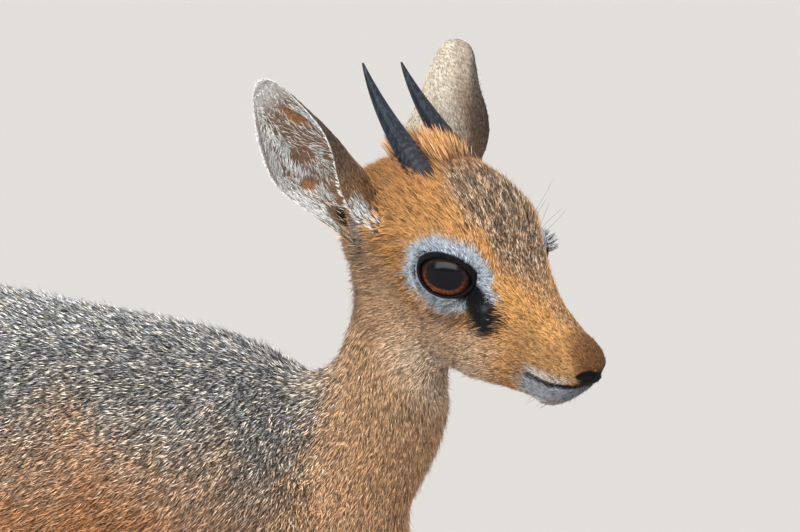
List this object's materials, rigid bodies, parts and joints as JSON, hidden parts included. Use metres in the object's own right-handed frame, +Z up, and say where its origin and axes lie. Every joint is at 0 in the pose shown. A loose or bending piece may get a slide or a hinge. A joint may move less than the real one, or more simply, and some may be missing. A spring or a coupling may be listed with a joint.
{
  "type": "dik dik",
  "caption": "Small standing antelope, life size, head turned to its right and lowered, with large dark eyes, upright ears and short ringed horns.",
  "frame": {"origin": "middle of the bounding box, on the floor that the hooves stand on", "axes": "+X the way the body faces, +Y to the animal's left, +Z up"},
  "size_m": [0.46, 0.1322, 0.4822],
  "materials": {
    "back_coat": "grizzled grey fur, matte",
    "tan_coat": "tan fur, matte",
    "face_coat": "short orange-tan fur, matte",
    "ear": "thin furred skin, matte",
    "horn": "black horn, ringed at the base, satin",
    "hoof": "black horn, satin",
    "eye": "wet and glossy"
  },
  "bodies": {
    "root": {"head": "face_coat", "neck": "tan_coat", "torso": "back_coat", "tail": "back_coat", "ear_left": "ear", "ear_right": "ear", "eye_left": "eye", "eye_right": "eye", "horn_left": "horn", "horn_right": "horn", "leg_front_left": "tan_coat", "leg_front_right": "tan_coat", "leg_rear_left": "tan_coat", "leg_rear_right": "tan_coat", "hoof_front_left_outer": "hoof", "hoof_front_left_inner": "hoof", "hoof_front_right_outer": "hoof", "hoof_front_right_inner": "hoof", "hoof_rear_left_outer": "hoof", "hoof_rear_left_inner": "hoof", "hoof_rear_right_outer": "hoof", "hoof_rear_right_inner": "hoof"}
  },
  "joints": []
}
